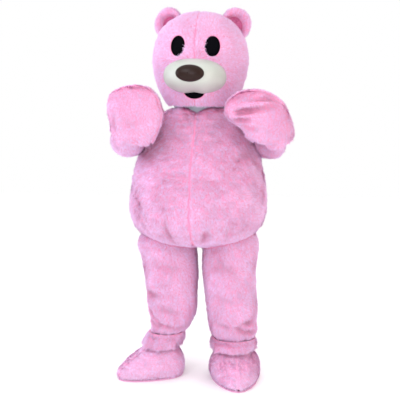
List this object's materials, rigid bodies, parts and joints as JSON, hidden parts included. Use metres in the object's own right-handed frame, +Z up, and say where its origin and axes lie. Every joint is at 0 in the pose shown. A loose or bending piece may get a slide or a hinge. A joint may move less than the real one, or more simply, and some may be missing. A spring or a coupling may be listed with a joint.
{
  "type": "bear mascot costume",
  "caption": "Hollow plush bear costume with a round belly, loose mittens, boots and a shell head with a smooth muzzle, held as worn with both paws raised.",
  "frame": {"origin": "where the wearer's shoulders hold the costume, on its centre plane, 1.36 m above the undersides of the soles", "axes": "+Z up, -Y the way the costume faces, +X the wearer's left"},
  "size_m": [0.9079, 0.6247, 1.8852],
  "materials": {
    "plush": "short soft pile",
    "deep_plush": "short soft pile",
    "sole": "dense felted cloth",
    "lining": "smooth woven lining",
    "muzzle": "smooth satin shell",
    "nose": "satin",
    "net": "fine black net"
  },
  "bodies": {
    "root": {"front_left": "plush", "front_right": "plush", "back_left": "plush", "back_right": "plush", "sleeve_left_under": "plush", "sleeve_left_upper": "plush", "sleeve_right_under": "plush", "sleeve_right_upper": "plush", "leg_left_front": "plush", "leg_left_back": "plush", "leg_right_front": "plush", "leg_right_back": "plush", "leg_cuff_left": "plush", "leg_cuff_right": "plush", "mitten_left_palm": "plush", "mitten_left_back": "plush", "mitten_right_palm": "plush", "mitten_right_back": "plush", "boot_left_inner": "plush", "boot_left_outer": "plush", "boot_left_sole": "sole", "boot_right_inner": "plush", "boot_right_outer": "plush", "boot_right_sole": "sole", "neck_flap": "lining", "head_front_left": "plush", "head_front_right": "plush", "head_back_left": "plush", "head_back_right": "plush", "ear_left_back": "plush", "ear_right_back": "plush", "ear_left_front": "deep_plush", "ear_right_front": "deep_plush", "muzzle": "muzzle", "nose": "nose", "eye_net_left": "net", "eye_net_right": "net", "mouth_net": "net"}
  },
  "joints": []
}
